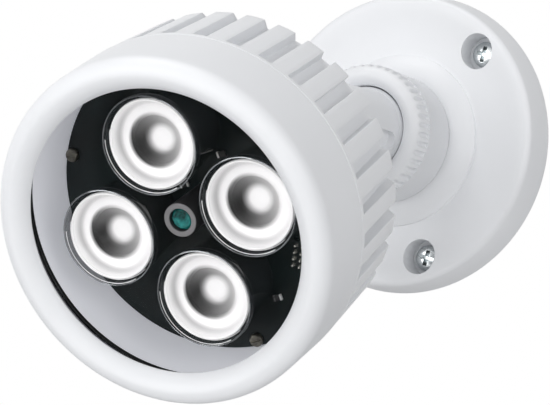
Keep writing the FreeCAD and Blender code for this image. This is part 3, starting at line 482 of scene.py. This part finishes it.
# Finned housing: 32 tapering grooves
def housing_mesh():
    count, half, edge, root = 32, 1.5, 0.22, 0.35
    period = 2 * math.pi / count
    floor_slope = (35.1 - 33.2) / (64.4 - 40.0)

    def station(r, z, groove=1.0):
        ring = []
        floor = min(33.2 + (z - 40.0) * floor_slope, r)
        floor = r + (floor - r) * groove
        deep = r - floor
        b, c = min(edge, deep * 0.45), min(root, deep * 0.45)
        across = [
            (-half - edge, 0.0), (-half - edge * 0.3, b * 0.3), (-half, b), (-half, deep - c),
            (-half + root * 0.3, deep - c * 0.3), (-half + root, deep), (0, deep),
            (half - root, deep), (half - root * 0.3, deep - c * 0.3), (half, deep - c), (half, b),
            (half + edge * 0.3, b * 0.3), (half + edge, 0.0)]
        for k in range(count):
            middle = math.pi / 2 + k * period
            u, v = math.cos(middle), math.sin(middle)
            wide = max(r, 32.0)
            for x, sink in across:
                x *= r / wide
                radial = math.sqrt(r * r - x * x) - sink
                ring.append((u * radial - v * x, v * radial + u * x, z))
            edge_angle = math.asin((half + edge) / wide)
            for part in (0.25, 0.5, 0.75):
                a = middle + edge_angle + part * (period - 2 * edge_angle)
                ring.append((r * math.cos(a), r * math.sin(a), z))
        return ring

    def land(z):
        """Radius of the ridges between the grooves."""
        return 36.4 + (z - 45.0) * (37.15 - 36.4) / (65.8 - 45.0)

    outer = [(land(65.8) - 0.25, 65.8, 0), (land(65.6), 65.55, 0), (land(65.0), 65.0, 0),
             (land(64.62), 64.62, 0), (land(64.45), 64.45, 0.12), (land(64.4), 64.4, 1)]
    outer += [(land(z), z, 1) for z in (60, 56, 52, 48, 45.3)]
    outer += [(36.28, 44.8, 1), (35.3, 43.8, 1), (34.1, 42.6, 1), (33.9, 42.4, 1), (33.35, 41.85, 1),
              (33.0, 41.5, 0), (32.6, 41.12, 0), (32.2, 41.0, 0), (14.5, 41.0, 0), (13.4, 40.6, 0),
              (13.0, 39.5, 0), (13.0, 34.6, 0), (12.4, 34.0, 0), (5.05, 34.0, 0), (5.05, 44.0, 0),
              (27.5, 44.0, 0), (29.6, 44.9, 0), (30.5, 47.0, 0), (30.5, 57.4, 0), (33.5, 57.4, 0),
              (33.5, 73.0, 0), (35.1, 73.0, 0), (35.4, 72.6, 0), (35.4, 65.8, 0)]
    mesh = loft("finned_housing", [station(*s) for s in outer])
    return cut(mesh, moved(rod("lead_hole", 3.2, 40, 45, 48), 0, -20.5))


shell = piece("fin_body", housing_mesh(), "head", HEAD, "white_coat", "finned_housing", material=white,
              sharp=25)
# The cavity wall inside the front gets the paler, glowing painted-light white
paint(shell, TO_HEAD, (inside_painted_light,),
      lambda spot: int(math.hypot(spot.x, spot.y) < 33.8 and 57.5 < spot.z < 72.9))

# Front bezel
bezel = [(35.55, 65.9), (37.05, 65.9), (37.15, 66.0), (36.72, 79.2)]
bezel += arc(33.2, 79.5, 3.5, 4, 90, 14)
bezel += arc(34.67, 78.22, 5.0, 107, 159, 10)[1:]
bezel += [(30.05, 79.75), (31.3, 78.0), (35.55, 78.0)]
piece("bezel_ring", lathe("front_bezel", bezel, 224), "head", HEAD, "white_coat", "front_bezel",
      material=white)

# Gasket round the pane
gasket = rounded([(33.5, 73.0, 0.1), (35.4, 73.0, 0.2), (35.4, 78.0, 0.2), (31.4, 78.0, 0.1),
                  (32.5, 76.0, 0.2), (34.6, 76.0, 0.1), (34.6, 74.0, 0.1), (33.5, 74.0, 0.2)])
piece("pane_gasket", lathe("glass_gasket", gasket, 192), "head", HEAD, "seal_rubber", "glass_gasket",
      material=rubber)


# Lens mouldings in a clear holder: the bright bowl, darker well and bright middle are painted reflection,
# shade and highlight, and the lens glows a little
def soft_step(value, low, high):
    t = min(max((value - low) / (high - low), 0.0), 1.0)
    return t * t * (3 - 2 * t)


def lens_light_and_shade(x, y, z):
    """Painted light and shade of the lens at one point: the dark well is painted reflection that pales
    towards one side as painted shade, a faint band of painted shade lies in the bowl on the other side, and
    the bright middle is a painted highlight."""
    r = math.hypot(x, y)
    if z < 66.9 or r > 9.5:
        return 0.95
    lean = 0.5 + 0.5 * (0.98 * x + 0.17 * y) / max(r, 2.5)
    bowl = 0.99 - 0.5 * (1 - lean) * math.exp(-((r - 8.2) / 0.6) ** 2)
    well = bowl - (0.97 - 0.5 * lean) * soft_step(6.7 - 0.6 * lean - r, 0.0, 0.5 + 1.6 * lean)
    middle = soft_step(3.6 - math.hypot(x + 0.4, y + 0.3), 0.0, 2.0)
    return well + (0.98 - well) * middle


def cup_look(spot):
    """0 is the clear wall, 1 the crest of the rim with a painted highlight, 2 a glowing painted highlight
    streak on one side.
    """
    r = math.hypot(spot.x, spot.y)
    turn = math.degrees(math.atan2(spot.y, spot.x)) % 360
    if spot.z > 73.74:
        return 1
    inner = r < 9.8 and spot.z > 71.6 and 150 < turn < 300
    outer = 10.02 < r < 10.17 and spot.z > 73 and 160 < turn < 285
    return 2 if inner or outer else 0


cup = [(8.4, BOARD_FRONT), (9.0, BOARD_FRONT), (9.9, 70.8), (10.1, 71.3), (10.5, 71.8), (10.55, 73.5),
       (10.45, 73.72), (10.3, 73.8), (10.22, 73.74), (10.18, 73.2), (10.1, 73.15), (10.02, 73.2),
       (9.98, 72.6), (9.92, 71.9), (9.8, 71.8), (9.7, 72.2), (9.6, 71.8), (9.55, 71.55), (9.5, 70.9),
       (9.3, 70.8)]
optic = [(2.4, 61.9), (3.9, 61.9), (5.4, 64.3), (7.0, 67.0), (8.4, 69.6), (9.37, 71.6), (9.85, 71.65),
         (9.9, 71.8), (9.85, 71.95), (9.48, 72.0), (9.42, 72.45), (9.33, 72.57), (9.2, 72.6), (9.0, 72.45)]
optic += arc(5.3, 73.6, 4.2, -24, -92, 12)
optic += [(5.0, 69.15), (4.7, 68.75), (4.3, 68.3), (3.85, 67.85), (3.4, 67.45), (3.0, 67.15), (2.6, 67.03),
          (2.1, 67.0), (1.6, 67.0), (1.0, 67.0), (0, 67.0), (0, 65.6), (2.4, 65.5)]
for side, x, y in (("top", 0, LENS_CIRCLE), ("right", LENS_CIRCLE, 0), ("bottom", 0, -LENS_CIRCLE),
                   ("left", -LENS_CIRCLE, 0)):
    at = HEAD @ Matrix.Translation((x, y, 0))
    inverse = at.inverted()
    holder = piece("cup_" + side, lathe("cup", cup, 96), "head", at, "clear_acrylic", "lens_holder_" + side,
                   material=acrylic)
    paint(holder, inverse, (rim_highlight, painted_streak), cup_look)
    lens = piece("optic_" + side, lathe("lens", optic, 96), "head", at, "lens_silver", "lens_" + side,
                 material=painted_lens)
    paint(lens, inverse, (acrylic,), lambda spot: int(math.hypot(spot.x, spot.y) > 9.5))
    # Painted light and shade of each lens, kept per point in the tone attribute
    tones = lens.data.attributes.new("tone", "FLOAT_COLOR", "POINT")
    for vertex, value in zip(lens.data.vertices, tones.data):
        spot = inverse @ (vertex.co / MM)
        grey = lens_light_and_shade(spot.x, spot.y, spot.z)
        value.color = (grey, grey * 0.99, grey, 1)
    dress("led_emitter_" + side, lit)

# Sleeve round the light sensor: black tube with a grey front ring
tube = [(2.45, BOARD_FRONT), (3.6, BOARD_FRONT), (3.6, 71.85), (3.5, 72.0), (2.55, 72.0), (2.45, 71.85)]
collar = piece("sensor_tube", lathe("tube", tube, 64), "head", HEAD, "sleeve_grey", "photocell_sleeve",
               material=nylon)
paint(collar, TO_HEAD, (sleeve_grey,), lambda spot: int(spot.z > 71.8))

# Board screws: small dark heads with a slot
screw_profile = [(0, 60.2), (0.9, 60.15), (1.25, 60.0), (1.45, 59.7), (1.5, 59.4), (1.5, BOARD_FRONT),
                 (0.85, BOARD_FRONT), (0.85, 54.1), (0, 54.1)]
heads = []
for x, y in round_spots(BOARD_SCREW_CIRCLE, -90):
    slit = prism("slit", rectangle(1.6, 0.18), 59.75, 61.0)
    heads.append(moved(cut(lathe("head", screw_profile, 32, closed=False), slit), x, y))
piece("board_fixings", joined("board_fixings", heads), "head", HEAD, "tin", "board_screws", material=dull)


# Chips: dark bodies with soldered ends painted near-white, partly their tin and partly painted glints
def chip_look(spot):
    x = min(abs(spot.x - centre) for centre, _ in CHIP_SPOTS)
    return 0 if x < CHIP_ENDS - 0.01 or x < 0.93 and 59.31 < spot.z < 59.55 else 1


parts = []
for x, y in CHIP_SPOTS:
    parts.append(prism("body", rectangle(0.9, 0.58, x, y), BOARD_FRONT, 59.54))
    cap, middle = (1.0 - CHIP_ENDS) / 2, (1.0 + CHIP_ENDS) / 2
    for offset in (-middle, middle):
        parts.append(prism("cap", rectangle(cap, 0.625, x + offset, y), BOARD_FRONT, 59.6))
chips = piece("chip_parts", joined("chip_parts", parts), "head", HEAD, "chip_body", "board_chips",
              material=chip_body)
paint(chips, TO_HEAD, (solder_and_glint,), chip_look)

# Solder rows of the terminal on its dark strip
blob_profile = [(0.5, 59.55), (0.5, 59.8), (0.42, 60.1), (0.28, 60.5), (0.2, 60.75), (0, 60.8), (0, 59.55)]
pitch, columns, lines = 1.5, 2, 4
rows = [prism("strip", rectangle(1.65, 3.15), BOARD_FRONT, 59.6)]
for k in range(columns * lines):
    x, y = pitch * (k % columns - 0.5), pitch * (k // columns - 1.5)
    rows.append(moved(lathe("blob", blob_profile, 16), x, y))
rows = joined("terminal_rows", rows)
rows.transform(Matrix.Translation((16.4, -15.6, 0)) @ Matrix.Rotation(math.radians(-28), 4, "Z"))
strip = piece("terminal_rows", rows, "head", HEAD, "tin", "board_terminal", material=tin)
paint(strip, TO_HEAD, (mask,), lambda spot: int(spot.z < 59.62))

for node, look in NODE_LOOKS.items():
    dress(node, look)

# Floor, backdrop and light: the room is white where the camera, a reflection or clear glass sees it
world = bpy.data.worlds.new("studio")
bpy.context.scene.world = world
world.use_nodes = True
nodes, links = world.node_tree.nodes, world.node_tree.links
background = nodes["Background"]
path = nodes.new("ShaderNodeLightPath")
seen = nodes.new("ShaderNodeMath")
seen.operation = "MAXIMUM"
seen_more = nodes.new("ShaderNodeMath")
seen_more.operation = "MAXIMUM"
links.new(path.outputs["Is Camera Ray"], seen.inputs[0])
links.new(path.outputs["Is Glossy Ray"], seen.inputs[1])
links.new(seen.outputs[0], seen_more.inputs[0])
links.new(path.outputs["Is Transmission Ray"], seen_more.inputs[1])
white_room = nodes.new("ShaderNodeBackground")
white_room.inputs["Color"].default_value = (1, 1, 1, 1)
background.inputs["Color"].default_value = (0.97, 0.98, 1.0, 1)
background.inputs["Strength"].default_value = 0.27
mix = nodes.new("ShaderNodeMixShader")
links.new(seen_more.outputs[0], mix.inputs["Fac"])
links.new(background.outputs[0], mix.inputs[1])
links.new(white_room.outputs[0], mix.inputs[2])
links.new(mix.outputs[0], nodes["World Output"].inputs["Surface"])

floor_mesh = bpy.data.meshes.new("floor")
reach, level = 3.0, -0.25
floor_mesh.from_pydata(
    [(-reach, -reach, level), (reach, -reach, level), (reach, reach, level), (-reach, reach, level)], [],
    [(0, 1, 2, 3)])
floor = linked("floor", floor_mesh)
floor_mesh.materials.append(material("floor_paper", (0.9, 0.9, 0.9), 0.8, vary=0.005, scale=3.0))


def lamp(name, place_at, power):
    """Square area lamp, aimed at the middle of the object."""
    data = bpy.data.lights.new(name, "AREA")
    data.energy = power
    data.size = 0.6
    obj = linked(name, data)
    obj.location = place_at
    aim = Vector((0, -0.08, 0)) - Vector(place_at)
    obj.rotation_euler = aim.to_track_quat("-Z", "Y").to_euler()


lamp("front", (-0.35, -0.95, 0.1), 3.1)
lamp("beside", (0.3, -1.0, -0.05), 1.75)
lamp("top", (0.0, -0.5, 0.95), 3.8)
lamp("right", (0.85, -0.5, -0.1), 2.6)

# Camera at the photograph's place
SENSOR, FOCAL_PIXELS, WIDTH_PIXELS = 36.0, 2000.0, 550.0
camera_data = bpy.data.cameras.new("camera")
camera_data.sensor_width = SENSOR
camera_data.lens = FOCAL_PIXELS / WIDTH_PIXELS * SENSOR
camera = linked("camera", camera_data)
right = Vector((0.859, 0.498, -0.114)).normalized()
forward = Vector((-0.474, 0.860, 0.187)).normalized()
right = (right - forward * right.dot(forward)).normalized()
up = right.cross(forward).normalized()
camera.matrix_world = Matrix((
    (right.x, up.x, -forward.x, 0.2085), (right.y, up.y, -forward.y, -0.4518),
    (right.z, up.z, -forward.z, -0.1055), (0, 0, 0, 1)))
bpy.context.scene.camera = camera
bpy.context.scene.view_settings.view_transform = "Standard"
